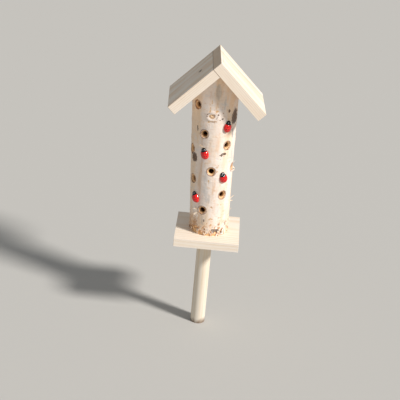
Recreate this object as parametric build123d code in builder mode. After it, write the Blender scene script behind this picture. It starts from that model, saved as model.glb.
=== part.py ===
from build123d import *

import os
from math import cos, radians, sin, sqrt

# A garden insect tower: a drilled birch log under a two-board roof, on a square board that
# rests on the shoulder of a ground stake. Millimetres and degrees. The origin is on the stake's
# axis at ground level, +Z is up and the front is -Y. Azimuths round the log are counted from
# the front, positive towards +X.

# Stake
stake_diameter = 22.0
stake_clear_height = 148.0  # ground to the underside of the base board
stake_buried_length = 200.0
stake_point_length = 45.0
stake_tip_diameter = 5.0
spigot_diameter = 16.0
spigot_in_log = 17.5
spigot_chamfer = 1.5
spigot_clearance = 0.1  # radial, so that the tower lifts off the spigot
socket_end_gap = 1.0

# Boards, all sawn from one plank
board_width = 95.0
base_length = 95.0
base_thickness = 12.5
base_turn = -3.0
base_offset = 2.5  # the spigot's hole is this far off the middle of the base board
roof_length = 96.0  # ridge to eave, down the outer face
roof_thickness = 14.0
roof_pitch = 45.0
ridge_height = 268.0  # above the base board
ridge_offset = -2.0

# Log
log_foot_radius = 29.0
log_taper = 0.016  # the radius grows by this much for each millimetre up the log
log_lean = 2.2  # towards -X
log_foot_offset = 4.0

# Insect holes: share of the way up to the roof, then azimuth. The first nine are on the front.
insect_hole_diameter = 8.0
insect_hole_depth = 20.0
insect_mouth_diameter = 13.0
drill_point_angle = 118.0
insect_holes = [
    (0.93, -50),
    (0.74, -26),
    (0.66, 39),
    (0.61, -70),
    (0.485, 70),
    (0.48, -3),
    (0.40, -61),
    (0.305, 33),
    (0.19, -24),
    (0.88, 112),
    (0.80, -118),
    (0.72, 165),
    (0.62, 118),
    (0.55, -155),
    (0.43, 162),
    (0.34, -110),
    (0.27, 108),
    (0.17, -165),
]

# Ladybirds: share of the way up to the roof, azimuth, and how far the head turns to the left
ladybird_width = 12.4
ladybird_length = 15.2
ladybird_head_radius = 3.9
ladybird_head_reach = 6.2  # from the middle of the body to the middle of the head
ladybird_flat = 1.0  # the flat side is this far above the axis that the body is turned about
pad_radius = 4.2
pad_thickness = 0.9
ladybirds = [
    (0.79, 34, -10),
    (0.60, -22, 15),
    (0.43, 32, 19),
    (0.27, -45, 27),
]

# Nails in the roof
nail_radius = 0.95
nail_head_radius = 1.7
nail_head_thickness = 0.9
nail_length = 40.0
nail_sink = 0.7
nail_edge_distance = 17.0  # ridge nails, from the board's ends along the ridge
roof_nail_stagger = 2.7  # keeps the two nails into the log clear of each other

# Screws up through the base board
screw_radius = 2.0
screw_head_radius = 4.0
screw_bite = 22.0  # length in the log
screw_point_length = 5.0
screw_spread = 36.0
screw_sink = 0.4
recess_length = 4.6
recess_width = 1.0
recess_depth = 1.3

# Derived places
base_top = stake_clear_height + base_thickness
ridge_z = base_top + ridge_height
log_shoulder = ridge_height - sqrt(2) * roof_thickness - log_foot_radius - log_taper * ridge_height
log_frame = Plane((log_foot_offset, 0, base_top)).rotated((0, -log_lean, 0))
ridge = Vector(ridge_offset, 0, ridge_z)
pitch = radians(roof_pitch)
right_slope = Plane(ridge, x_dir=(cos(pitch), 0, -sin(pitch)), z_dir=(sin(pitch), 0, cos(pitch)))
left_slope = Plane(ridge, x_dir=(-cos(pitch), 0, -sin(pitch)), z_dir=(-sin(pitch), 0, cos(pitch)))


def bark_plane(share, azimuth, lift=0.0, roll=0.0):
    """A plane facing outwards on the bark, with its Y pointing up the log.

    It stands off the bark by lift, and roll turns it anticlockwise about its own normal."""
    turn = radians(azimuth)
    height = share * log_shoulder
    radius = log_foot_radius + log_taper * height + lift
    local = Plane(
        origin=(radius * sin(turn), -radius * cos(turn), height),
        x_dir=(cos(turn), sin(turn), 0),
        z_dir=(sin(turn), -cos(turn), 0),
    )
    return Plane(log_frame.location * local.location * Rotation(0, 0, roll))


def turned(seat, outline):
    """A part turned about the seat's Z from an outline of (radius, height) points."""
    with BuildPart() as part:
        with BuildSketch(Plane(seat.origin, x_dir=seat.x_dir, z_dir=-seat.y_dir)):
            with BuildLine():
                Polyline(*outline, close=True)
            make_face()
        revolve(axis=Axis(seat.origin, seat.z_dir))
    return part


def save(part, name):
    part.part.label = name
    export_step(part.part, f"parts/{name}.step")


def make_nail(seat):
    """A wire nail driven along -Z of the seat, its head sunk below the surface."""
    head_top = -nail_sink
    head_foot = head_top - nail_head_thickness
    tip = head_top - nail_length
    outline = [
        (0, head_top),
        (nail_head_radius, head_top),
        (nail_head_radius, head_foot),
        (nail_radius, head_foot),
        (nail_radius, tip + 2 * nail_radius),
        (0, tip),
    ]
    return turned(seat, outline)


def make_screw(seat):
    """A countersunk screw driven along -Z of the seat, with a cross recess in its head.

    The second part that it returns is the screw without its recess, the shape of its hole."""
    top = -screw_sink
    neck = top - (screw_head_radius - screw_radius)
    tip = -(base_thickness + screw_bite)
    outline = [
        (0, top),
        (screw_head_radius, top),
        (screw_radius, neck),
        (screw_radius, tip + screw_point_length),
        (0, tip),
    ]
    filled = turned(seat, outline)
    with BuildPart() as screw:
        add(filled.part)
        with BuildSketch(seat.offset(top)):
            Rectangle(recess_length, recess_width)
            Rectangle(recess_width, recess_length)
        extrude(amount=-recess_depth, mode=Mode.SUBTRACT)
    return screw, filled


def make_stake():
    """A round stake, sharpened below, with a spigot turned on its top end."""
    radius = stake_diameter / 2
    tip = stake_tip_diameter / 2
    spigot = spigot_diameter / 2
    top = base_top + spigot_in_log
    outline = [
        (0, -stake_buried_length),
        (tip, -stake_buried_length),
        (radius, stake_point_length - stake_buried_length),
        (radius, stake_clear_height),
        (spigot, stake_clear_height),
        (spigot, top - spigot_chamfer),
        (spigot - spigot_chamfer, top),
        (0, top),
    ]
    return turned(Plane.XY, outline)


def make_base(screws):
    """The square board between the stake and the log."""
    middle = Plane((base_offset, 0, stake_clear_height)).rotated((0, 0, base_turn))
    with BuildPart() as base:
        with BuildSketch(middle):
            Rectangle(base_length, board_width)
        extrude(amount=base_thickness)
        with BuildSketch(Plane.XY.offset(stake_clear_height)):
            Circle(spigot_diameter / 2 + spigot_clearance)
        extrude(amount=base_thickness, mode=Mode.SUBTRACT)
        for seat, _, filled in screws:
            with BuildSketch(seat):
                Circle(screw_head_radius)
            extrude(amount=-screw_sink, mode=Mode.SUBTRACT)
            add(filled.part, mode=Mode.SUBTRACT)
    return base


def make_log_blank():
    """The log before drilling: round, tapered and leaning, cut flat below and to a gable above."""
    below = -log_foot_radius
    above = ridge_height
    with BuildPart() as blank:
        with BuildSketch(log_frame.offset(below)):
            Circle(log_foot_radius + log_taper * below)
        with BuildSketch(log_frame.offset(above)):
            Circle(log_foot_radius + log_taper * above)
        loft()
        split(bisect_by=Plane.XY.offset(base_top), keep=Keep.TOP)
        split(bisect_by=right_slope.offset(-roof_thickness), keep=Keep.BOTTOM)
        split(bisect_by=left_slope.offset(-roof_thickness), keep=Keep.BOTTOM)
    return blank


def make_insect_drill():
    """What one insect hole removes: a countersunk mouth, a bore and the drill's point."""
    bore = insect_hole_diameter / 2
    mouth = insect_mouth_diameter / 2
    cone = bore / sin(radians(drill_point_angle / 2)) * cos(radians(drill_point_angle / 2))
    outline = [
        (0, mouth),
        (mouth, mouth),
        (mouth, 0),
        (bore, bore - mouth),
        (bore, -insect_hole_depth),
        (0, -insect_hole_depth - cone),
    ]
    return turned(Plane.XY, outline)


def make_log(blank, drill, nails, screws):
    """The drilled log."""
    with BuildPart() as log:
        add(blank.part)
        for share, azimuth in insect_holes:
            with Locations(bark_plane(share, azimuth).location):
                add(drill.part, mode=Mode.SUBTRACT)
        with BuildSketch(Plane.XY.offset(base_top)):
            Circle(spigot_diameter / 2 + spigot_clearance)
        extrude(amount=spigot_in_log + socket_end_gap, mode=Mode.SUBTRACT)
        for nail in nails:
            add(nail.part, mode=Mode.SUBTRACT)
        for _, _, filled in screws:
            add(filled.part, mode=Mode.SUBTRACT)
    return log


def make_roof_board(slope, start, nails):
    """One roof board, from start to the eave down its slope, with the nails' holes in it."""
    length = roof_length - start
    with BuildPart() as board:
        with BuildSketch(slope):
            with Locations((start + length / 2, 0)):
                Rectangle(length, board_width)
        extrude(amount=-roof_thickness)
        for seat, nail in nails:
            with BuildSketch(seat):
                Circle(nail_head_radius)
            extrude(amount=-nail_sink, mode=Mode.SUBTRACT)
            add(nail.part, mode=Mode.SUBTRACT)
    return board


def make_ladybird(seat):
    """A turned bead with a head, cut flat below, with its long axis along the seat's Y."""
    turning = seat.offset(-ladybird_flat)
    with BuildPart() as ladybird:
        with BuildSketch(turning):
            Ellipse(ladybird_width / 2, ladybird_length / 2)
            with Locations((0, ladybird_head_reach)):
                Circle(ladybird_head_radius)
            with Locations((-ladybird_length, 0)):
                Rectangle(2 * ladybird_length, 4 * ladybird_length, mode=Mode.SUBTRACT)
        revolve(axis=Axis(turning.origin, turning.y_dir))
        split(bisect_by=seat, keep=Keep.TOP)
    return ladybird


def make_pad(seat, blank):
    """A round adhesive pad between a ladybird's flat side and the bark."""
    with BuildPart() as pad:
        with BuildSketch(seat):
            Circle(pad_radius)
        extrude(amount=-(pad_thickness + pad_radius / 2))
        add(blank.part, mode=Mode.SUBTRACT)
    return pad


def make_all():
    os.makedirs("parts", exist_ok=True)

    ridge_nail_reach = board_width / 2 - nail_edge_distance
    ridge_nails = []
    for side in (-1, 1):
        spot = right_slope.from_local_coords((roof_thickness / 2, side * ridge_nail_reach, 0))
        seat = Plane(spot, x_dir=right_slope.x_dir, z_dir=right_slope.z_dir)
        ridge_nails.append((seat, make_nail(seat)))

    roof_nail_place = roof_thickness + 0.7 * (log_foot_radius + log_taper * ridge_height)
    log_nails = []
    for slope in (right_slope, left_slope):
        spot = slope.from_local_coords((roof_nail_place, roof_nail_stagger, 0))
        seat = Plane(spot, x_dir=slope.x_dir, z_dir=slope.z_dir)
        log_nails.append((seat, make_nail(seat)))

    screws = []
    for side in (-1, 1):
        spot = (log_foot_offset + side * screw_spread / 2, 0, stake_clear_height)
        seat = Plane(spot, x_dir=(1, 0, 0), z_dir=(0, 0, -1))
        screws.append((seat, *make_screw(seat)))

    save(make_stake(), "stake")
    save(make_base(screws), "base_board")

    blank = make_log_blank()
    nails_in_log = [nail for _, nail in log_nails]
    save(make_log(blank, make_insect_drill(), nails_in_log, screws), "log")
    save(make_roof_board(right_slope, 0, ridge_nails + log_nails[:1]), "roof_board_right")
    save(make_roof_board(left_slope, roof_thickness, ridge_nails + log_nails[1:]), "roof_board_left")

    save(ridge_nails[0][1], "ridge_nail_front")
    save(ridge_nails[1][1], "ridge_nail_back")
    save(log_nails[0][1], "roof_nail_right")
    save(log_nails[1][1], "roof_nail_left")
    save(screws[0][1], "base_screw_left")
    save(screws[1][1], "base_screw_right")

    for number, (share, azimuth, head_turn) in enumerate(ladybirds, start=1):
        seat = bark_plane(share, azimuth, lift=pad_thickness, roll=head_turn)
        save(make_ladybird(seat), f"ladybird_{number}")
        save(make_pad(seat, blank), f"ladybird_{number}_pad")


make_all()
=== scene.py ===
from math import cos, pi, radians, sin

import bpy
import numpy as np
from mathutils import Matrix, Vector


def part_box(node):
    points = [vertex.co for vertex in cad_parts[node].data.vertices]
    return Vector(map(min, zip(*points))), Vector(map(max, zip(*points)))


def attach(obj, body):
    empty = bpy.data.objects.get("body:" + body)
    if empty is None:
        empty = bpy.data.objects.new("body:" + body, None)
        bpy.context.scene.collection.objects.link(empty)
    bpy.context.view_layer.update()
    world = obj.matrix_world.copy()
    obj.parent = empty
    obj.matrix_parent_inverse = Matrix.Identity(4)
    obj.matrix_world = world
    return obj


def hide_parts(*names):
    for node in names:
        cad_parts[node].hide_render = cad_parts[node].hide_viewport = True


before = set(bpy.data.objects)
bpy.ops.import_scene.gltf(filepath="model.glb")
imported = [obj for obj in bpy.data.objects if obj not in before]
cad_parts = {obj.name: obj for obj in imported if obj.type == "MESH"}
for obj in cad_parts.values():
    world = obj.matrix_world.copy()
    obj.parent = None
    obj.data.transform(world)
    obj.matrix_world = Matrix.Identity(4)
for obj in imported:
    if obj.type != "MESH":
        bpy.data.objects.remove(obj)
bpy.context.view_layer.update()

# The looks of a garden insect tower, built round its CAD frame. Lengths are in metres in the
# frame, and in millimetres where a piece is modelled in its own frame. Azimuths round the log
# are counted from the front (-Y), positive towards +X.

MM = 0.001
SEED = 11

BASE_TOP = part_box("base_board")[1].z
RIDGE_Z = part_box("roof_board_right")[1].z

# The log, with the same sizes and places as its CAD solid
ROOF_THICKNESS = 14.0
ROOF_PITCH = radians(45)
RIDGE_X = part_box("roof_board_right")[0].x / MM + ROOF_THICKNESS * sin(ROOF_PITCH)
RIDGE_HEIGHT = (RIDGE_Z - BASE_TOP) / MM
FOOT_RADIUS = 29.0
TAPER = 0.016
LEAN = radians(2.2)
FOOT_X = 4.0
SHOULDER = RIDGE_HEIGHT - ROOF_THICKNESS * 2 ** 0.5 - FOOT_RADIUS - TAPER * RIDGE_HEIGHT
LOG_PLACE = Matrix.Translation((FOOT_X * MM, 0, BASE_TOP)) @ Matrix.Rotation(-LEAN, 4, "Y")

BORE_RADIUS = 4.0
MOUTH_RADIUS = 6.5
BORE_DEPTH = 20.0
POINT_DEPTH = 2.4
SOCKET_RADIUS = 8.1
SOCKET_DEPTH = 18.5
INSECT_HOLES = [
    (0.93, -50), (0.74, -26), (0.66, 39), (0.61, -70), (0.485, 70), (0.48, -3),
    (0.40, -61), (0.305, 33), (0.19, -24), (0.88, 112), (0.80, -118), (0.72, 165),
    (0.62, 118), (0.55, -155), (0.43, 162), (0.34, -110), (0.27, 108), (0.17, -165),
]

# Ladybirds: share of the way up the log, azimuth, how far the head turns to the left
PAD_THICKNESS = 0.9
LADYBIRDS = [(0.79, 34, -10), (0.60, -22, 15), (0.43, 32, 19), (0.27, -45, 27)]


# Meshes ------------------------------------------------------------------------------------


def make_piece(name, points, faces, smooth=True):
    """A mesh object from points in metres."""
    mesh = bpy.data.meshes.new(name)
    mesh.from_pydata([tuple(p) for p in points], [], faces)
    mesh.validate()
    mesh.polygons.foreach_set("use_smooth", [smooth] * len(mesh.polygons))
    piece = bpy.data.objects.new(name, mesh)
    bpy.context.scene.collection.objects.link(piece)
    return piece


def grid_faces(rows, columns):
    """Quads over rows of points, where each row closes on itself."""
    faces = []
    for row in range(rows - 1):
        for column in range(columns):
            right = (column + 1) % columns
            low, high = row * columns, (row + 1) * columns
            faces.append((low + column, low + right, high + right, high + column))
    return faces


def capped_grid(rows, columns):
    """The faces of a tube of points, and one more across each end."""
    last = (rows - 1) * columns
    ends = [tuple(reversed(range(columns))), tuple(range(last, last + columns))]
    return grid_faces(rows, columns) + ends


def turned_piece(name, profile, segments, wobble=None):
    """A closed mesh turned about Z from (radius, height) pairs in millimetres.

    wobble(angle, height) adds to the radius."""
    points = []
    for radius, height in profile:
        for k in range(segments):
            angle = 2 * pi * k / segments
            r = radius + (wobble(angle, height) if wobble else 0.0)
            points.append((r * cos(angle), r * sin(angle), height))
    return make_piece(name, np.array(points) * MM, capped_grid(len(profile), segments))


def combine(target, tool, operation):
    """Applies a boolean of tool on target, and deletes the tool."""
    modifier = target.modifiers.new("cut", "BOOLEAN")
    modifier.operation = operation
    modifier.solver = "MANIFOLD"
    modifier.object = tool
    graph = bpy.context.evaluated_depsgraph_get()
    result = bpy.data.meshes.new_from_object(target.evaluated_get(graph))
    target.modifiers.clear()
    target.data = result
    bpy.data.objects.remove(tool)


# Noise -------------------------------------------------------------------------------------

LATTICE = np.random.default_rng(SEED).uniform(-1, 1, (32, 32, 32))


def noise(points, period, offset=0.0):
    """Smooth noise from -1 to 1 at points (n, 3). period is one number, or one for each axis."""
    cell = np.asarray(points) / np.asarray(period) + offset
    low = np.floor(cell).astype(int)
    part = cell - low
    part = part * part * (3 - 2 * part)
    total = np.zeros(len(cell))
    for corner in np.ndindex(2, 2, 2):
        weight = np.ones(len(cell))
        for axis in range(3):
            weight *= part[:, axis] if corner[axis] else 1 - part[:, axis]
        index = (low + corner) % 32
        total += weight * LATTICE[index[:, 0], index[:, 1], index[:, 2]]
    return total


def fade(value, low, high):
    """0 below low, 1 above high, smooth between."""
    t = np.clip((value - low) / (high - low), 0, 1)
    return t * t * (3 - 2 * t)


# The birch log -----------------------------------------------------------------------------

LOG_COLUMNS = 340
LOG_ROWS = 400
LOG_EXCESS = 8.0  # below the base board's top, before the log is cut flat
LOG_SHARP_FROM = radians(38)
GABLE_HALF = 60.0  # half the width and length of the space under the roof that keeps the log
DRILL_SEGMENTS = 56
DRILL_CONE_RINGS = 5
DRILL_BORE_RINGS = 12
DRILL_RAGGED = 0.16  # largest wave of a mouth's edge
SOCKET_SEGMENTS = 64
UNDER_BASE_TOP = 5.0  # the socket's cutter starts this far below the log
LENTICELS = 150
LENTICEL_TOP = 245.0
PEEL_STEP = 0.16
MOUTH_TEAR = 0.6
FOOT_TEAR = 1.3
STAIN_AZIMUTH = radians(-62)
PATCH_AZIMUTH = radians(-58)
PATCH_TEAR = 0.2
FRAY = 1.6  # how far the edge of a mark wanders
DEPTH_UNIT = 10.0  # millimetres in one unit of the stored depth
DEPTH_LIMIT = 5.0
# Places on the bark are (height above the base board, azimuth, half height, half width). A knot
# has a raised rim, and its last number is how high.
KNOTS = [
    (186.5, -7, 6.4, 9.0, 0.7),
    (187.5, -5, 3.0, 3.8, 0.6),
    (186, 60, 11.0, 8.0, 0.9),
    (194, 37, 2.6, 2.2, 0.3),
    (7.5, 18, 4.6, 7.5, 0.8),
    (120, -57, 8.0, 8.0, 0.3),
    (152, 140, 6.0, 7.0, 0.6),
    (60, -140, 5.0, 8.0, 0.5),
    (96, 178, 3.5, 6.0, 0.4),
]
DARK_MARKS = [
    (189.5, 8.5, 1.4, 1.2),
    (183, 19, 1.4, 1.4),
    (181, 13, 0.8, 1.0),
    # The next mark, by the knot at 60 degrees, is part dark scar and part painted shadow
    (184, 59, 13.0, 8.0),
    (194, 37, 2.0, 1.7),
    (128, 21.5, 1.8, 2.9),
    (130, 27, 1.3, 3.4),
    (129.5, 32.5, 1.9, 2.6),
    (126.5, 29.5, 1.8, 0.9),
    (122, 20, 0.8, 1.0),
    (120, -56, 8.0, 7.0),
    (126, -66, 5.0, 3.6),
    (24, -17, 2.4, 0.8),
    (11, -15, 1.5, 1.6),
    (11, 13, 0.8, 4.0),
    (5, 33, 1.4, 1.6),
    (18, 26, 1.6, 0.7),
    (16, 52, 2.4, 1.0),
    (166, -47, 5.0, 1.2),
    (152, 140, 4.6, 5.0),
    (60, -140, 3.6, 6.0),
    (96, 178, 2.4, 4.6),
    (140, -150, 1.4, 5.0),
    (30, 150, 1.6, 4.0),
    (205, -170, 1.8, 4.0),
    (70, 128, 1.2, 3.4),
    (118, -92, 1.4, 4.2),
    (175, 100, 1.2, 3.0),
    (44, -96, 1.0, 3.2),
]
OCHRE_MARKS = [
    (179, -4, 1.0, 6.5),
    (197, -13, 5.0, 1.0),
    (201, 7, 1.4, 1.4),
    (194, 5, 2.0, 2.6),
    (196, -3, 1.2, 1.0),
    (206, -9, 3.0, 0.9),
    (192, 20, 1.4, 1.2),
    (178, -16, 1.6, 1.8),
    (110, 12, 1.5, 1.8),
    (104, 13, 2.4, 1.0),
    (88, -9, 3.4, 1.2),
    (47, 1, 1.6, 2.6),
    (50, 30, 1.2, 1.2),
    (28, 2, 1.2, 3.4),
    (29, 30, 1.0, 2.8),
    (18, 3, 2.8, 1.3),
    (19, 29, 2.2, 1.6),
    (12, 28, 2.4, 2.4),
    (2.2, 11, 1.8, 3.0),
    (22, 44, 2.0, 1.0),
    (3, -26, 2.0, 5.0),
    (2, -6, 1.6, 3.0),
    (160, 155, 3.0, 3.0),
    (84, -170, 4.0, 2.0),
    (130, 110, 3.0, 1.6),
]
# Grey and tan marks have one more number, how strong they are
TAN_MARKS = [
    (110, -34, 55.0, 3.4, 0.8),
    (165, -20, 22.0, 2.6, 0.6),
    (84, 3, 24.0, 3.6, 0.8),
    (150, 10, 18.0, 4.0, 0.6),
    (205, -12, 18.0, 2.4, 0.7),
    (198, 4, 9.0, 2.6, 0.8),
    (44, 14, 10.0, 4.5, 0.6),
    (108, 42, 26.0, 2.6, 0.5),
    (34, -30, 16.0, 3.0, 0.7),
    (140, 90, 40.0, 4.0, 0.7),
    (80, 150, 36.0, 4.0, 0.7),
    (150, -110, 40.0, 4.0, 0.7),
    (60, -170, 30.0, 4.0, 0.6),
]
GREY_MARKS = [
    (84, -17, 22.0, 2.6, 0.5),
    (66, -13, 16.0, 2.0, 0.5),
    (60, -6, 8.0, 1.8, 0.4),
    (158, 56, 9.0, 2.6, 0.8),
    (7.5, 19, 3.6, 6.4, 1.0),
    (4.5, 34, 2.4, 5.0, 1.0),
    (24, -22, 8.0, 2.0, 0.4),
    (222, 6, 12.0, 4.0, 0.5),
    (206, 24, 9.0, 2.0, 0.4),
    (120, 60, 16.0, 3.0, 0.4),
    (90, 120, 22.0, 4.0, 0.5),
    (150, -140, 18.0, 4.0, 0.5),
    (110, 165, 20.0, 3.0, 0.5),
]


def reference_radius(height):
    """The radius of the CAD log."""
    return FOOT_RADIUS + TAPER * height


def around(azimuth, middle, radius):
    """Arc length in millimetres from an azimuth to each of the given ones, both in radians."""
    turn = (azimuth - middle + pi) % (2 * pi) - pi
    return turn * radius


def on_cylinder(azimuth, height):
    """Points on the CAD log's surface, in the log's frame and in millimetres."""
    radius = reference_radius(height)
    return np.stack([radius * np.sin(azimuth), -radius * np.cos(azimuth), height], axis=1)


def spot(azimuth, height, mark):
    """Distance from a mark's middle, as a share of its size."""
    up, side, half_height, half_width = mark[:4]
    across = around(azimuth, radians(side), reference_radius(height)) / half_width
    return np.sqrt(across ** 2 + ((height - up) / half_height) ** 2)


def lenticel_mask(azimuth, height):
    """Short level dashes all round the bark, from 0 to 1."""
    random = np.random.default_rng(SEED + 1)
    mask = np.zeros(len(height))
    for _ in range(LENTICELS):
        up = random.uniform(2, LENTICEL_TOP)
        side = random.uniform(-pi, pi)
        half_width = random.uniform(1.2, 5.0)
        half_height = random.uniform(0.35, 0.6)
        depth = random.uniform(0.4, 1.0)
        near = np.abs(height - up) < 2
        across = around(azimuth[near], side, reference_radius(up)) / half_width
        apart = across ** 2 + ((height[near] - up) / half_height) ** 2
        mask[near] = np.maximum(mask[near], depth * fade(-apart, -1.6, -0.4))
    return mask


def bark_radius(azimuth, height):
    """The radius of the whole, untorn bark: swells, wrinkles, peeled steps and knots."""
    points = on_cylinder(azimuth, height)
    radius = reference_radius(height)
    radius = radius + 0.9 * noise(points, (70, 70, 110)) + 0.35 * noise(points, (22, 22, 40), 7.3)
    radius += 0.10 * noise(points, (7, 7, 1.6), 3.1) + 0.06 * noise(points, (2.2, 2.2, 1.1), 5.7)
    peel = noise(points, (18, 18, 9), 11.9)
    radius += PEEL_STEP * (fade(peel, 0.10, 0.16) + fade(peel, 0.42, 0.47))
    for knot in KNOTS:
        apart = spot(azimuth, height, knot)
        ring = np.exp(-((apart - 0.95) / 0.28) ** 2)
        radius += knot[4] * (ring - 0.7 * fade(-apart, -0.75, -0.2))
    return radius


def torn_depth(azimuth, height):
    """How deep the bark is torn away, at the hole mouths, the foot and low on the left."""
    points = on_cylinder(azimuth, height)
    torn = np.zeros(len(height))
    rough = noise(points, (2.6, 2.6, 2.2), 2.2)
    for share, side in INSECT_HOLES:
        up = share * SHOULDER
        across = around(azimuth, radians(side), reference_radius(height))
        apart = np.hypot(across, height - up) - MOUTH_RADIUS
        edge = fade(-apart, -1.1, -0.1)
        torn = np.maximum(torn, MOUTH_TEAR * edge * fade(rough, 0.15, 0.5))
    foot = fade(-height, -17.0, -1.0)
    patchy = noise(points, (5, 5, 4), 9.4)
    frayed = fade(foot + 0.8 * patchy + 0.5 * rough, 0.60, 1.2) * fade(foot, 0.0, 0.12)
    torn = np.maximum(torn, FOOT_TEAR * frayed)
    left = fade(-np.abs(around(azimuth, PATCH_AZIMUTH, FOOT_RADIUS)), -15, -6)
    patch = fade(left * fade(-height, -38, -18) + 0.5 * patchy, 0.5, 0.75)
    return np.maximum(torn, PATCH_TEAR * patch)


def drill_tool(number):
    """The shape that one insect hole removes, in its own frame, with a ragged mouth."""
    random = np.random.default_rng(SEED + 100 + number)
    phases = random.uniform(0, 2 * pi, 6)
    sizes = random.uniform(0.1, 1.0, 6) * DRILL_RAGGED

    def ragged(angle, height):
        wave = sum(size * sin((k + 2) * angle + phase)
                   for k, (size, phase) in enumerate(zip(sizes, phases)))
        return wave * max(0.0, min(1.0, (height + 3.5) / 3.0))

    profile = [(MOUTH_RADIUS + 0.4, 6.0), (MOUTH_RADIUS + 0.3, 1.2)]
    for k in range(DRILL_CONE_RINGS + 1):
        inward = k / DRILL_CONE_RINGS * (MOUTH_RADIUS - BORE_RADIUS)
        profile.append((MOUTH_RADIUS - inward, 0.3 - inward))
    for depth in np.linspace(4.0, BORE_DEPTH, DRILL_BORE_RINGS):
        profile.append((BORE_RADIUS, -depth))
    profile.append((BORE_RADIUS * 0.5, -BORE_DEPTH - POINT_DEPTH * 0.5))
    profile.append((0.15, -BORE_DEPTH - POINT_DEPTH))
    return turned_piece(f"drill_{number}", profile[::-1], DRILL_SEGMENTS, ragged)


def bark_place(share, azimuth, lift=0.0, turn=0.0):
    """The frame on the bark with its Z outwards and its Y up the log, in metres."""
    angle = radians(azimuth)
    height = share * SHOULDER
    radius = reference_radius(height) + lift
    outward = Vector((sin(angle), -cos(angle), 0))
    right = Vector((cos(angle), sin(angle), 0))
    up = Vector((0, 0, 1))
    place = Matrix((right, up, outward)).transposed().to_4x4()
    place.translation = Vector((outward.x * radius, outward.y * radius, height)) * MM
    return LOG_PLACE @ place @ Matrix.Rotation(radians(turn), 4, "Z")


def gable_tool():
    """The space under the two roof boards, as a long prism, down to the base board."""
    half = GABLE_HALF * MM
    apex_z = RIDGE_Z - ROOF_THICKNESS * 2 ** 0.5 * MM
    ridge_x = RIDGE_X * MM
    outline = [
        (ridge_x, apex_z),
        (ridge_x - half, apex_z - half),
        (ridge_x - half, BASE_TOP),
        (ridge_x + half, BASE_TOP),
        (ridge_x + half, apex_z - half),
    ]
    points = [(x, -half, z) for x, z in outline] + [(x, half, z) for x, z in outline]
    count = len(outline)
    faces = [tuple(range(count)), tuple(reversed(range(count, 2 * count)))]
    for k in range(count):
        after = (k + 1) % count
        faces.append((after, k, k + count, after + count))
    return make_piece("gable_tool", points, faces, smooth=False)


def make_log():
    """The log as one closed mesh, cut by the roof, the base board, the drill and the spigot."""
    azimuths = np.tile(np.arange(LOG_COLUMNS) / LOG_COLUMNS * 2 * pi - pi, LOG_ROWS)
    heights = np.repeat(np.linspace(-LOG_EXCESS, RIDGE_HEIGHT, LOG_ROWS), LOG_COLUMNS)
    radius = bark_radius(azimuths, heights) - torn_depth(azimuths, heights)
    local = np.stack([radius * np.sin(azimuths), -radius * np.cos(azimuths), heights], axis=1)
    log = make_piece("birch_log", local * MM, capped_grid(LOG_ROWS, LOG_COLUMNS))
    log.data.transform(LOG_PLACE)
    combine(log, gable_tool(), "INTERSECT")
    for number, (share, azimuth) in enumerate(INSECT_HOLES):
        tool = drill_tool(number)
        tool.data.transform(bark_place(share, azimuth))
        combine(log, tool, "DIFFERENCE")
    wall = [(SOCKET_RADIUS, -UNDER_BASE_TOP), (SOCKET_RADIUS, SOCKET_DEPTH)]
    socket = turned_piece("socket", wall, SOCKET_SEGMENTS)
    socket.data.transform(Matrix.Translation((0, 0, BASE_TOP)))
    combine(log, socket, "DIFFERENCE")
    log.data.polygons.foreach_set("use_smooth", [True] * len(log.data.polygons))
    log.data.set_sharp_from_angle(angle=LOG_SHARP_FROM)
    paint_log(log.data)
    return log


def set_mask(mesh, name, values):
    """Stores one number at each point, for the material to read by name."""
    attribute = mesh.attributes.new(name, "FLOAT", "POINT")
    attribute.data.foreach_set("value", values.astype(np.float32))


def knot_masks(azimuth, height, ragged):
    """The broken dark ring round each knot, and its heart."""
    rings = np.zeros(len(height))
    hearts = np.zeros(len(height))
    broken = fade(noise(on_cylinder(azimuth, height), (4, 4, 4), 6.1), -0.35, 0.35)
    for knot in KNOTS:
        apart = spot(azimuth, height, knot) + 0.25 * ragged
        rings = np.maximum(rings, 0.8 * broken * np.exp(-((apart - 0.80) / 0.13) ** 2))
        hearts = np.maximum(hearts, fade(-apart, -0.66, -0.4))
    return rings, hearts


def marks_mask(marks, azimuth, height, ragged):
    """Where the marks lie, with frayed edges. A mark's fifth number, if any, is its strength."""
    mask = np.zeros(len(height))
    for mark in marks:
        strength = mark[4] if len(mark) > 4 else 1.0
        fray = ragged * min(1.0, FRAY / min(mark[2:4]))
        inside = fade(-spot(azimuth, height, mark) - fray, -1.2, -0.7)
        mask = np.maximum(mask, strength * inside)
    return mask


def stain_mask(azimuth, height):
    """The golden stain low on the left of the log."""
    side = around(azimuth, STAIN_AZIMUTH, FOOT_RADIUS)
    stain = fade(-np.abs(side), -16, -8) * fade(-height, -46, -14)
    patchy = noise(on_cylinder(azimuth, height), (7, 7, 14), 8.8)
    return stain * fade(patchy, -1.1, -0.3)


def rim_mask(azimuth, height, ragged):
    """The bruised bark round each hole's mouth."""
    rim = np.zeros(len(height))
    for share, side in INSECT_HOLES:
        across = around(azimuth, radians(side), reference_radius(height))
        apart = np.hypot(across, height - share * SHOULDER) - MOUTH_RADIUS
        rim = np.maximum(rim, fade(-np.abs(apart - 0.1 + 0.5 * ragged), -0.9, -0.3))
    return rim


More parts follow.
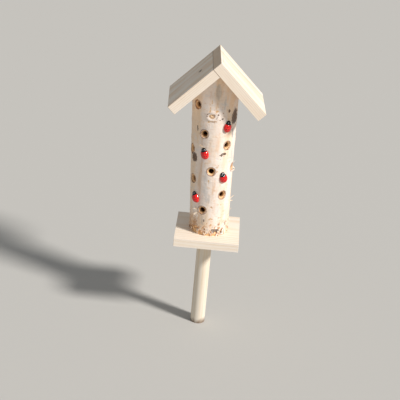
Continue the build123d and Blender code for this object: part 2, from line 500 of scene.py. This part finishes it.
def paint_log(mesh):
    """Stores, at each point, how deep it lies under the bark and which marks it carries."""
    flat = np.zeros(len(mesh.vertices) * 3)
    mesh.vertices.foreach_get("co", flat)
    world = np.c_[flat.reshape(-1, 3), np.ones(len(flat) // 3)]
    local = (world @ np.array(LOG_PLACE.inverted()).T)[:, :3] / MM
    azimuth = np.arctan2(local[:, 0], -local[:, 1])
    height = local[:, 2]
    radius = np.hypot(local[:, 0], local[:, 1])
    depth = (bark_radius(azimuth, height) - radius) / DEPTH_UNIT
    set_mask(mesh, "depth", np.clip(depth, 0, DEPTH_LIMIT))
    set_mask(mesh, "lenticel", lenticel_mask(azimuth, height))
    set_mask(mesh, "foot", fade(-height, -30, -8))

    points = on_cylinder(azimuth, height)
    ragged = 0.5 * noise(points, 2.2, 4.4) + 0.2 * noise(points, 0.9, 1.7)
    rings, hearts = knot_masks(azimuth, height, ragged)
    dark = marks_mask(DARK_MARKS, azimuth, height, ragged)
    set_mask(mesh, "dark", np.maximum(dark, rings))
    ochre = np.maximum(marks_mask(OCHRE_MARKS, azimuth, height, ragged), hearts)
    set_mask(mesh, "ochre", np.maximum(ochre, stain_mask(azimuth, height)))
    set_mask(mesh, "grey", marks_mask(GREY_MARKS, azimuth, height, ragged))
    set_mask(mesh, "tan", marks_mask(TAN_MARKS, azimuth, height, ragged))
    set_mask(mesh, "rim", rim_mask(azimuth, height, ragged))


# Bark curls --------------------------------------------------------------------------------


CURL_STEPS = 9
CURL_THICKNESS = 0.22
FOOT_FLAKES = 30
# Share of the way up the log and azimuth, then length, width, lean, lift and bend
CURLS = [
    ((0.172, -38), 7.5, 3.8, -140, 3.6, 0.4),
    ((0.185, -38), 6.5, 3.6, -75, 3.4, 0.6),
    ((0.166, -36), 6.0, 2.8, 170, 2.4, 0.3),
    ((0.636, -25), 9.0, 3.8, -42, 3.0, 0.1),
    ((0.240, 80), 6.5, 2.4, 60, 4.2, 0.1),
    ((0.222, 82), 4.0, 1.5, 100, 3.0, 0.3),
    ((0.500, 84), 4.5, 3.2, 30, 2.6, 0.4),
    ((0.470, 88), 4.2, 3.0, 150, 2.6, 0.5),
    ((0.445, 84), 3.6, 2.4, 90, 2.4, 0.4),
    ((0.505, 9), 4.6, 2.2, 25, 1.8, 0.5),
    ((0.520, 12), 3.6, 2.4, 60, 1.6, 0.4),
    ((0.150, 86), 3.0, 1.4, 45, 2.0, 0.2),
    ((0.080, 84), 3.4, 1.6, 110, 1.8, 0.5),
    ((0.330, -104), 4.6, 1.8, -60, 2.4, 0.4),
    ((0.620, 126), 4.8, 2.0, 75, 2.6, 0.3),
    ((0.400, 168), 4.0, 1.8, -20, 2.0, 0.5),
]


def curl_points(start, length, width, lean, lift, bend):
    """A thin tapered strip that rises off the bark from start.

    lean turns it from upright towards the right of the log, in degrees. lift is how far its tip
    rises, and bend from 0 to 1 shortens it and brings its tip back down."""
    place = bark_place(*start)
    points = []
    for k in range(CURL_STEPS + 1):
        part = k / CURL_STEPS
        along = length * (1 - 0.25 * bend * part * part)
        x = sin(radians(lean)) * along * part
        y = cos(radians(lean)) * along * part
        z = 0.1 + lift * part ** 1.6 * (1 - 0.35 * bend * part)
        half = 0.5 * width * (1 - 0.6 * part ** 2) * (0.85 + 0.15 * sin(9 * part))
        across = Vector((cos(radians(lean)), -sin(radians(lean)), 0))
        for side, level in ((-1, 0), (1, 0), (1, 1), (-1, 1)):
            edge = Vector((x, y, z + level * CURL_THICKNESS - 0.12 * half)) + across * side * half
            points.append(place @ (edge * MM))
    return points


def make_curls():
    """Slivers of bark that the drill and the saw have lifted, as one piece."""
    strips = list(CURLS)
    random = np.random.default_rng(SEED + 7)
    for _ in range(FOOT_FLAKES):
        start = (random.uniform(0.012, 0.05), random.uniform(-180, 180))
        length, width = random.uniform(2.4, 4.6), random.uniform(1.4, 2.8)
        lean = random.uniform(100, 260)
        strips.append((start, length, width, lean, random.uniform(0.6, 1.6), 0.4))
    points, faces = [], []
    for strip in strips:
        base = len(points)
        points += curl_points(*strip)
        for face in capped_grid(CURL_STEPS + 1, 4):
            faces.append(tuple(base + corner for corner in face))
    curls = make_piece("bark_curls", points, faces)
    curls.data.set_sharp_from_angle(angle=radians(40))
    return curls


# Ladybirds ---------------------------------------------------------------------------------

SHELL_WIDTH = 6.2  # half the whole width, and the next is half the whole length
SHELL_LENGTH = 7.6
HEAD_RADIUS = 3.9
HEAD_REACH = 6.2
SHELL_FLAT = 1.0  # the flat side is this far above the axis that the shape is turned about
SHELL_RINGS = 30
SHELL_SEGMENTS = 96
SHELL_INSETS = (0.985, 0.93)  # the rings on the flat side, as shares of the outline
SEAM_DEPTH = 0.16
SEAM_WIDTH = 0.35


def shell_outline(angle):
    """Distance from the middle of a ladybird's flat side to its edge in one direction."""
    body = (1 - (SHELL_FLAT / SHELL_WIDTH) ** 2) ** 0.5
    head = HEAD_RADIUS ** 2 - SHELL_FLAT ** 2
    shell = body / ((cos(angle) / SHELL_WIDTH) ** 2 + (sin(angle) / SHELL_LENGTH) ** 2) ** 0.5
    along = HEAD_REACH * sin(angle)
    beside = HEAD_REACH ** 2 * cos(angle) ** 2
    if along > 0 and beside < head:
        return max(shell, along + (head - beside) ** 0.5)
    return shell


def shell_height(x, y):
    """Height of the painted surface over the flat side, with a groove along the seam."""
    body = max(0.0, 1 - (x / SHELL_WIDTH) ** 2 - (y / SHELL_LENGTH) ** 2) ** 0.5 * SHELL_WIDTH
    head = max(0.0, HEAD_RADIUS ** 2 - x * x - (y - HEAD_REACH) ** 2) ** 0.5
    height = max(0.0, max(body, head) - SHELL_FLAT)
    if body >= head:
        height -= SEAM_DEPTH * np.exp(-(x / SEAM_WIDTH) ** 2) * min(1.0, height / 2)
    return height


def make_ladybird(number, share, azimuth, turn):
    """One ladybird's painted shell and head: rings from the middle out, then a flat underside."""
    rings = [(sin(pi / 2 * ring / SHELL_RINGS), True) for ring in range(1, SHELL_RINGS + 1)]
    rings += [(inset, False) for inset in SHELL_INSETS]
    points = []
    for reach, raised in rings:
        for k in range(SHELL_SEGMENTS):
            angle = 2 * pi * k / SHELL_SEGMENTS
            r = reach * shell_outline(angle)
            x, y = r * cos(angle), r * sin(angle)
            points.append((x, y, shell_height(x, y) if raised else 0.0))
    faces = [tuple(reversed(face)) for face in grid_faces(len(rings), SHELL_SEGMENTS)]
    top = len(points)
    points.append((0, 0, shell_height(0, 0)))
    faces += [(k, (k + 1) % SHELL_SEGMENTS, top) for k in range(SHELL_SEGMENTS)]
    faces.append(tuple(reversed(range(top - SHELL_SEGMENTS, top))))
    piece = make_piece(f"ladybird_{number}_shell", np.array(points) * MM, faces)
    piece.data.set_sharp_from_angle(angle=radians(50))
    piece.matrix_world = bark_place(share, azimuth, lift=PAD_THICKNESS, turn=turn)
    return piece


# Materials ---------------------------------------------------------------------------------


def colour(red, green, blue):
    """An sRGB colour from 0 to 255 as linear RGBA."""
    linear = []
    for value in (red, green, blue):
        share = value / 255
        linear.append(share / 12.92 if share <= 0.04045 else ((share + 0.055) / 1.055) ** 2.4)
    return (*linear, 1.0)


COLOUR_A, COLOUR_B, COLOUR_RESULT = 6, 7, 2  # a Mix node's own places for colours


class Paint:
    """A material under construction. Each method adds one node and returns its output."""

    def __init__(self, name, roughness=0.6):
        self.material = bpy.data.materials.new(name)
        self.material.use_nodes = True
        self.tree = self.material.node_tree
        self.tree.nodes.clear()
        output = self.tree.nodes.new("ShaderNodeOutputMaterial")
        self.shader = self.tree.nodes.new("ShaderNodeBsdfPrincipled")
        self.shader.inputs["Roughness"].default_value = roughness
        self.tree.links.new(self.shader.outputs["BSDF"], output.inputs["Surface"])
        self.place = self.tree.nodes.new("ShaderNodeTexCoord")

    def put(self, socket, value):
        """Links the socket to another node's output, or sets it to a number or a colour."""
        if isinstance(value, bpy.types.NodeSocket):
            self.tree.links.new(value, socket)
        elif value is not None:
            socket.default_value = value

    def where(self):
        return self.place.outputs["Object"]

    def facing(self):
        return self.place.outputs["Normal"]

    def attribute(self, name):
        node = self.tree.nodes.new("ShaderNodeAttribute")
        node.attribute_name = name
        return node.outputs["Fac"]

    def scaled(self, vector, scale, rotation=(0, 0, 0), location=(0, 0, 0)):
        node = self.tree.nodes.new("ShaderNodeMapping")
        self.put(node.inputs["Vector"], vector)
        node.inputs["Scale"].default_value = scale
        node.inputs["Rotation"].default_value = rotation
        node.inputs["Location"].default_value = location
        return node.outputs["Vector"]

    def noise(self, vector, scale=1.0, detail=3.0, roughness=0.55):
        node = self.tree.nodes.new("ShaderNodeTexNoise")
        self.put(node.inputs["Vector"], vector)
        node.inputs["Scale"].default_value = scale
        node.inputs["Detail"].default_value = detail
        node.inputs["Roughness"].default_value = roughness
        return node.outputs["Fac"]

    def split(self, vector):
        node = self.tree.nodes.new("ShaderNodeSeparateXYZ")
        self.put(node.inputs[0], vector)
        return node.outputs[0], node.outputs[1], node.outputs[2]

    def math(self, operation, first, second=None):
        node = self.tree.nodes.new("ShaderNodeMath")
        node.operation = operation
        for socket, value in zip(node.inputs, (first, second)):
            self.put(socket, value)
        return node.outputs[0]

    def between(self, value, low, high, start=0.0, end=1.0):
        """value from low to high becomes start to end, held at both ends and smooth."""
        node = self.tree.nodes.new("ShaderNodeMapRange")
        node.interpolation_type = "SMOOTHSTEP"
        for socket, number in zip(node.inputs, (value, low, high, start, end)):
            self.put(socket, number)
        return node.outputs[0]

    def vector_math(self, operation, first, second):
        node = self.tree.nodes.new("ShaderNodeVectorMath")
        node.operation = operation
        self.put(node.inputs[0], first)
        self.put(node.inputs[1], second)
        return node.outputs["Value"]

    def dot(self, first, second):
        return self.vector_math("DOT_PRODUCT", first, second)

    def distance(self, first, second):
        return self.vector_math("DISTANCE", first, second)

    def mix(self, amount, first, second):
        node = self.tree.nodes.new("ShaderNodeMix")
        node.data_type = "RGBA"
        self.put(node.inputs["Factor"], amount)
        self.put(node.inputs[COLOUR_A], first)
        self.put(node.inputs[COLOUR_B], second)
        return node.outputs[COLOUR_RESULT]

    def bump(self, height, distance, strength=1.0, under=None):
        node = self.tree.nodes.new("ShaderNodeBump")
        node.inputs["Strength"].default_value = strength
        node.inputs["Distance"].default_value = distance
        self.put(node.inputs["Height"], height)
        self.put(node.inputs["Normal"], under)
        return node.outputs["Normal"]

    def finish(self, tone, normal=None, roughness=None):
        """Feeds the shader, and returns the finished material."""
        self.put(self.shader.inputs["Base Color"], tone)
        self.put(self.shader.inputs["Normal"], normal)
        self.put(self.shader.inputs["Roughness"], roughness)
        return self.material


def pine_material(name, turn, pith, ring_width=2.7, late_tone=(240, 210, 176), nail=None,
                  end=None):
    """Planed softwood as a solid: growth rings about a pith line, cut by whatever the mesh is.

    turn brings the grain along X, and pith is where the rings' middle lies across the grain, in
    millimetres. nail is a point with a stain round it. end is (direction, reach): the last
    millimetre of wood before that reach is darkened as painted shade in the gap of the seam."""
    paint = Paint(name)
    grain = paint.scaled(paint.where(), (1, 1, 1), rotation=turn)
    _, y, z = paint.split(grain)
    sway = paint.noise(paint.scaled(grain, (9, 26, 26)), detail=2.0)
    sway = paint.math("MULTIPLY", sway, 5.5 * MM)
    across = paint.math("SUBTRACT", y, pith[0] * MM)
    deep = paint.math("SUBTRACT", z, pith[1] * MM)
    reach = paint.math("SQRT", paint.math("ADD", paint.math("MULTIPLY", across, across),
                                          paint.math("MULTIPLY", deep, deep)))
    reach = paint.math("ADD", reach, sway)
    ring = paint.math("FRACT", paint.math("DIVIDE", reach, ring_width * MM))
    late = paint.math("MULTIPLY", paint.between(ring, 0.2, 0.84), paint.between(ring, 1.0, 0.88))
    patch = paint.noise(paint.scaled(grain, (14, 60, 60)), detail=3.0)
    late = paint.math("MULTIPLY", late, paint.between(patch, 0.3, 0.7, 0.3, 0.9))
    fibre = paint.noise(paint.scaled(grain, (55, 1500, 1500)), detail=3.0, roughness=0.65)
    pores = paint.noise(paint.scaled(grain, (120, 2600, 2600), location=(3, 1, 2)), detail=1.0)
    tone = paint.mix(late, colour(255, 243, 228), colour(*late_tone))
    tone = paint.mix(paint.between(fibre, 0.35, 0.75, 0.0, 0.2), tone, colour(242, 220, 190))
    tone = paint.mix(paint.between(pores, 0.66, 0.74, 0.0, 0.3), tone, colour(186, 140, 98))
    cloud = paint.noise(paint.scaled(grain, (10, 10, 10), location=(5, 0, 0)), detail=4.0)
    tone = paint.mix(paint.between(cloud, 0.42, 0.72, 0.0, 0.25), tone, colour(242, 222, 196))
    facing = paint.dot(paint.scaled(paint.facing(), (1, 1, 1), rotation=turn), (1.0, 0.0, 0.0))
    cut_end = paint.between(paint.math("ABSOLUTE", facing), 0.7, 0.95)
    tone = paint.mix(paint.math("MULTIPLY", cut_end, 0.5), tone, colour(204, 168, 126))
    if nail is not None:
        apart = paint.distance(paint.where(), nail)
        apart = paint.math("SUBTRACT", apart, paint.math("MULTIPLY", patch, 1.2 * MM))
        tone = paint.mix(paint.between(apart, 3.4 * MM, 1.6 * MM, 0.0, 0.85), tone,
                         colour(92, 76, 60))
    # The dark strip before the reach is painted shade in the seam between the roof boards
    if end is not None:
        direction, limit = end
        along = paint.dot(paint.where(), direction)
        tone = paint.mix(paint.between(along, limit - 0.9 * MM, limit - 0.3 * MM, 0.0, 0.85), tone,
                         colour(92, 66, 44))
    relief = paint.math("ADD", paint.math("MULTIPLY", late, 0.5), fibre)
    normal = paint.bump(relief, 0.25 * MM, strength=0.35)
    rough = paint.between(fibre, 0.3, 0.8, 0.52, 0.72)
    return paint.finish(tone, normal, rough)


def stake_material():
    """A turned softwood dowel: pale, with a faint straight grain, and stained by soil below."""
    paint = Paint("pine_stake")
    here = paint.where()
    grain = paint.noise(paint.scaled(here, (210, 210, 5)), detail=4.0)
    fibre = paint.noise(paint.scaled(here, (1300, 1300, 40)), detail=3.0)
    cloud = paint.noise(paint.scaled(here, (26, 26, 12), location=(5, 0, 0)), detail=4.0)
    tone = paint.mix(paint.between(grain, 0.44, 0.66), colour(238, 228, 212), colour(232, 213, 186))
    tone = paint.mix(paint.between(fibre, 0.4, 0.75, 0.0, 0.25), tone, colour(232, 210, 176))
    tone = paint.mix(paint.between(cloud, 0.45, 0.7, 0.0, 0.25), tone, colour(232, 214, 184))
    level = paint.split(here)[2]
    ragged = paint.noise(paint.scaled(here, (90, 90, 60)), detail=5.0)
    level = paint.math("SUBTRACT", level, paint.math("MULTIPLY", ragged, 14 * MM))
    speck = paint.noise(here, scale=900, detail=4.0)
    dirt = paint.mix(speck, colour(74, 52, 36), colour(120, 88, 62))
    tone = paint.mix(paint.between(level, 3 * MM, -8 * MM, 0.0, 0.85), tone, dirt)
    normal = paint.bump(fibre, 0.2 * MM, strength=0.35)
    return paint.finish(tone, normal, paint.between(fibre, 0.3, 0.8, 0.5, 0.7))


def birch_material():
    """Birch: papery bark, a thin brown layer under it, then peach wood, and painted shade down a
    hole.
    """
    paint = Paint("birch_bark")
    here = paint.where()

    # The bark's own tones
    band = paint.noise(paint.scaled(here, (55, 55, 11)), detail=3.0)
    streak = paint.noise(paint.scaled(here, (150, 150, 26), location=(2, 4, 1)), detail=4.0)
    blotch = paint.noise(paint.scaled(here, (120, 120, 150), location=(9, 2, 6)), detail=5.0)
    speck = paint.noise(paint.scaled(here, (420, 420, 520), location=(1, 7, 2)), detail=3.0)
    fine = paint.noise(paint.scaled(here, (380, 380, 1300)), detail=4.0, roughness=0.7)
    tone = paint.mix(paint.between(band, 0.42, 0.60), colour(253, 238, 226), colour(250, 224, 196))
    tone = paint.mix(paint.between(streak, 0.54, 0.72, 0.0, 0.6), tone, colour(240, 206, 170))
    tone = paint.mix(paint.between(blotch, 0.57, 0.72, 0.0, 0.5), tone, colour(234, 194, 152))
    tone = paint.mix(paint.between(blotch, 0.44, 0.34, 0.0, 0.4), tone, colour(232, 230, 228))
    tone = paint.mix(paint.between(fine, 0.48, 0.76, 0.0, 0.35), tone, colour(228, 194, 162))
    tone = paint.mix(paint.between(speck, 0.70, 0.76, 0.0, 0.5), tone, colour(176, 130, 92))
    tanned = paint.math("MULTIPLY", paint.attribute("tan"), paint.between(streak, 0.35, 0.6))
    tone = paint.mix(paint.math("MULTIPLY", tanned, 0.7), tone, colour(230, 184, 140))
    tone = paint.mix(paint.math("MULTIPLY", paint.attribute("lenticel"), 0.3), tone,
                     colour(178, 130, 94))

    # Crumbs at the foot, then the marks
    crumb = paint.noise(paint.scaled(here, (260, 260, 230), location=(5, 3, 8)), detail=5.0)
    foot = paint.attribute("foot")
    for low, high, crumb_tone in ((0.53, 0.60, colour(220, 162, 108)),
                                  (0.61, 0.68, colour(140, 96, 66)),
                                  (0.42, 0.36, colour(196, 190, 184))):
        amount = paint.math("MULTIPLY", foot, paint.between(crumb, low, high, 0.0, 0.8))
        tone = paint.mix(amount, tone, crumb_tone)
    golden = paint.mix(paint.between(streak, 0.4, 0.62), colour(222, 170, 98), colour(168, 108, 50))
    ochre = paint.math("ADD", paint.attribute("ochre"), paint.between(speck, 0.3, 0.7, -0.5, 0.5))
    stained = paint.math("MULTIPLY", paint.between(ochre, 0.3, 0.95),
                         paint.between(fine, 0.3, 0.7, 0.5, 0.9))
    tone = paint.mix(stained, tone, golden)
    grey = paint.attribute("grey")
    ash = paint.mix(paint.between(streak, 0.3, 0.7), colour(206, 208, 208), colour(150, 146, 142))
    ash = paint.mix(paint.between(grey, 0.55, 1.0), ash, colour(104, 98, 94))
    tone = paint.mix(paint.math("MULTIPLY", grey, 0.85), tone, ash)
    dark = paint.mix(paint.between(speck, 0.4, 0.62), colour(52, 34, 24), colour(112, 80, 56))
    scar = paint.math("ADD", paint.attribute("dark"), paint.between(speck, 0.3, 0.7, -0.3, 0.3))
    tone = paint.mix(paint.between(scar, 0.35, 0.95, 0.0, 0.92), tone, dark)
    tone = paint.mix(paint.math("MULTIPLY", paint.attribute("rim"), 0.75), tone,
                     colour(128, 80, 50))

    # What lies under the bark, by its depth in millimetres, with painted shade deep down a hole
    deep = paint.math("MULTIPLY", paint.attribute("depth"), DEPTH_UNIT)
    wobble = paint.noise(here, scale=450, detail=3.0)
    deep = paint.math("ADD", deep, paint.between(wobble, 0.3, 0.7, -0.15, 0.15))
    flaky = paint.noise(paint.scaled(here, (380, 380, 300)), detail=3.0)
    brown = paint.mix(paint.between(flaky, 0.4, 0.6), colour(206, 140, 88), colour(116, 68, 38))
    fibre = paint.noise(paint.scaled(here, (900, 900, 60)), detail=3.0)
    wood = paint.mix(fibre, colour(252, 218, 168), colour(236, 178, 120))
    # Deeper than a few millimetres, down an insect hole, the colour is painted shade
    hole_painted_shade = paint.mix(fibre, colour(128, 82, 48), colour(70, 42, 24))
    tone = paint.mix(paint.between(deep, 0.30, 0.50), tone, brown)
    tone = paint.mix(paint.between(deep, 0.80, 1.05), tone, wood)
    tone = paint.mix(paint.between(deep, 2.4, 7.0), tone, hole_painted_shade)
    normal = paint.bump(fine, 0.35 * MM, strength=0.5)
    normal = paint.bump(blotch, 0.8 * MM, strength=0.3, under=normal)
    rough = paint.between(band, 0.3, 0.7, 0.5, 0.72)
    return paint.finish(tone, normal, rough)


def curl_material():
    """Thin lifted bark: paper white, mottled with peach."""
    paint = Paint("bark_curl")
    fine = paint.noise(paint.scaled(paint.where(), (300, 300, 500)), detail=3.0)
    tone = paint.mix(paint.between(fine, 0.4, 0.62), colour(255, 242, 226), colour(246, 212, 174))
    return paint.finish(tone, paint.bump(fine, 0.2 * MM, strength=0.5))


def ladybird_material():
    """Gloss paint: red shell with small black dots, black head with two pale patches."""
    paint = Paint("ladybird_paint", roughness=0.16)
    paint.shader.inputs["Coat Weight"].default_value = 0.35
    paint.shader.inputs["Coat Roughness"].default_value = 0.06
    here = paint.where()
    x, y, _ = paint.split(here)
    shade = paint.noise(here, scale=160, detail=3.0)
    tone = paint.mix(shade, colour(248, 38, 34), colour(226, 18, 20))
    flat = paint.scaled(here, (1, 1, 0))
    for dot_x, dot_y, size in ((0, 2.6, 0.7), (2.9, 1.6, 0.62), (3.9, -2.0, 0.62),
                               (1.7, -1.6, 0.55), (2.3, -5.0, 0.58)):
        for side in ((-1, 1) if dot_x else (1,)):
            apart = paint.distance(flat, (side * dot_x * MM, dot_y * MM, 0.0))
            black = paint.between(apart, (size + 0.08) * MM, (size - 0.08) * MM)
            tone = paint.mix(black, tone, colour(14, 12, 12))
    seam = paint.between(paint.math("ABSOLUTE", x), 0.28 * MM, 0.14 * MM)
    tone = paint.mix(paint.math("MULTIPLY", seam, 0.8), tone, colour(60, 6, 8))
    edge = paint.math("ADD", y, paint.math("MULTIPLY", paint.math("MULTIPLY", x, x), -20.0))
    tone = paint.mix(paint.between(edge, 4.1 * MM, 4.4 * MM), tone, colour(13, 13, 15))
    for side in (-1, 1):
        apart = paint.distance(flat, (side * 1.75 * MM, 7.3 * MM, 0.0))
        tone = paint.mix(paint.between(apart, 0.8 * MM, 0.5 * MM), tone, colour(150, 158, 162))
    normal = paint.bump(paint.noise(here, scale=420, detail=2.0), 0.1 * MM, strength=0.18)
    return paint.finish(tone, normal)


def steel_material(name, tone, tint):
    """Drawn or plated steel with a little dulling."""
    paint = Paint(name, roughness=0.4)
    paint.shader.inputs["Metallic"].default_value = 1.0
    cloud = paint.noise(paint.where(), scale=900, detail=4.0)
    mixed = paint.mix(paint.between(cloud, 0.4, 0.7), colour(*tone), colour(*tint))
    normal = paint.bump(cloud, 0.05 * MM, strength=0.4)
    return paint.finish(mixed, normal, paint.between(cloud, 0.3, 0.7, 0.28, 0.5))


def foam_material():
    """Closed-cell foam of an adhesive pad."""
    paint = Paint("foam", roughness=0.9)
    cell = paint.noise(paint.where(), scale=2600, detail=2.0)
    tone = paint.mix(cell, colour(238, 236, 228), colour(206, 202, 192))
    return paint.finish(tone, paint.bump(cell, 0.1 * MM, strength=0.6))


# The object --------------------------------------------------------------------------------

BASE_TURN = radians(3)
BOARD_EDGE = 0.6  # width of the rounding on a sawn edge
STAKE_EDGE = 0.5
EDGE_SEGMENTS = 3
EDGE_FROM = radians(50)  # edges sharper than this are rounded
WELD_REACH = 0.002
ROOF_NAILS = ("ridge_nail_front", "ridge_nail_back", "roof_nail_right", "roof_nail_left")
BASE_SCREWS = ("base_screw_left", "base_screw_right")


def dress(node, material, edge=None):
    """Gives a CAD node its material and, where edge is given, slightly rounded edges."""
    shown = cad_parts[node]
    shown.data.materials.clear()
    shown.data.materials.append(material)
    if edge:
        weld = shown.modifiers.new("weld", "WELD")
        weld.merge_threshold = WELD_REACH * MM
        bevel = shown.modifiers.new("edges", "BEVEL")
        bevel.width = edge * MM
        bevel.segments = EDGE_SEGMENTS
        bevel.limit_method = "ANGLE"
        bevel.angle_limit = EDGE_FROM
        bevel.harden_normals = True


def dress_wood():
    """Gives the boards and the stake their grain. The left board ends in painted shade at the ridge
    seam.
    """
    slope = Vector((cos(ROOF_PITCH), 0, sin(ROOF_PITCH)))
    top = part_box("roof_board_left")[1]
    ridge_end = slope.x * top.x + slope.z * (top.z - ROOF_THICKNESS * MM * cos(ROOF_PITCH))
    nail_low, nail_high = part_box("roof_nail_left")
    nail_head = (nail_low.x, 0.5 * (nail_low.y + nail_high.y), nail_high.z)
    right = pine_material("pine_right", (0, -ROOF_PITCH, 0), (12, -60))
    left = pine_material("pine_left", (0, ROOF_PITCH, 0), (-20, -48), nail=nail_head,
                         end=(slope, ridge_end))
    base = pine_material("pine_base", (0, 0, BASE_TURN), (18, 90), ring_width=3.6,
                         late_tone=(246, 226, 200))
    dress("roof_board_right", right, BOARD_EDGE)
    dress("roof_board_left", left, BOARD_EDGE)
    dress("base_board", base, BOARD_EDGE)
    dress("stake", stake_material(), STAKE_EDGE)


def dress_metal():
    """Dull wire for the nails, and yellow zinc for the screws."""
    nail = steel_material("nail_steel", (128, 124, 118), (86, 80, 74))
    for node in ROOF_NAILS:
        dress(node, nail)
    screw = steel_material("screw_steel", (196, 184, 140), (160, 150, 120))
    for node in BASE_SCREWS:
        dress(node, screw)


def place_log():
    """Puts the uneven log in place of the turned one, and adds its lifted bark."""
    log = make_log()
    log.data.materials.clear()
    log.data.materials.append(birch_material())
    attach(log, "tower")
    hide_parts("log")
    curls = make_curls()
    curls.data.materials.append(curl_material())
    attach(curls, "tower")


def place_ladybirds():
    """Puts the painted ladybirds in place of the plain ones, on their foam pads."""
    gloss, foam = ladybird_material(), foam_material()
    for number, (share, azimuth, turn) in enumerate(LADYBIRDS, start=1):
        shell = make_ladybird(number, share, azimuth, turn)
        shell.data.materials.append(gloss)
        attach(shell, "tower")
        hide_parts(f"ladybird_{number}")
        dress(f"ladybird_{number}_pad", foam)


# The studio --------------------------------------------------------------------------------

CAMERA_AIM = Vector((-0.0127, 0, 0.2047))
CAMERA_DISTANCE = 1.433
CAMERA_AZIMUTH = radians(-1.97)
CAMERA_ELEVATION = radians(24.14)
CAMERA_ROLL = radians(5.15)
CAMERA_LENS = 87.3
KEY_AZIMUTH = radians(59)
KEY_ELEVATION = radians(38)
KEY_SPREAD = radians(9)
KEY_POWER = 3.75
KEY_COLOUR = (1.0, 0.97, 0.94)
SKY_COLOUR = (0.94, 0.97, 1.0, 1.0)
SKY_POWER = 0.3
FLOOR_REACH = 30.0
FLOOR_TONE = (196, 194, 189)


def unit_towards(azimuth, elevation):
    """The unit vector from the object towards a place in the studio."""
    level = cos(elevation)
    return Vector((sin(azimuth) * level, -cos(azimuth) * level, sin(elevation)))


def make_camera():
    """The camera that sees the object as the photo does, tilted a little."""
    data = bpy.data.cameras.new("camera")
    data.lens = CAMERA_LENS
    camera = bpy.data.objects.new("camera", data)
    bpy.context.scene.collection.objects.link(camera)
    back = unit_towards(CAMERA_AZIMUTH, CAMERA_ELEVATION)
    facing = back.to_track_quat("Z", "Y").to_matrix().to_4x4()
    place = Matrix.Translation(CAMERA_AIM + back * CAMERA_DISTANCE)
    camera.matrix_world = place @ facing @ Matrix.Rotation(CAMERA_ROLL, 4, "Z")
    bpy.context.scene.camera = camera


def add_key_light():
    """One soft-edged studio light from the right and the front, far enough to light evenly."""
    data = bpy.data.lights.new("key", "SUN")
    data.energy = KEY_POWER
    data.angle = KEY_SPREAD
    data.color = KEY_COLOUR
    key = bpy.data.objects.new("key", data)
    towards = unit_towards(KEY_AZIMUTH, KEY_ELEVATION)
    key.matrix_world = towards.to_track_quat("Z", "Y").to_matrix().to_4x4()
    bpy.context.scene.collection.objects.link(key)


def make_studio():
    """A pale floor under an even sky, with the key light."""
    reach = FLOOR_REACH
    corners = [(-reach, -reach, 0), (reach, -reach, 0), (reach, reach, 0), (-reach, reach, 0)]
    floor = make_piece("floor", corners, [(0, 1, 2, 3)], smooth=False)
    paint = Paint("floor", roughness=0.9)
    floor.data.materials.append(paint.finish(colour(*FLOOR_TONE)))
    world = bpy.data.worlds.new("studio")
    world.use_nodes = True
    sky = world.node_tree.nodes["Background"]
    sky.inputs["Color"].default_value = SKY_COLOUR
    sky.inputs["Strength"].default_value = SKY_POWER
    bpy.context.scene.world = world
    bpy.context.scene.view_settings.view_transform = "Standard"
    add_key_light()


make_camera()
make_studio()
dress_wood()
dress_metal()
place_log()
place_ladybirds()
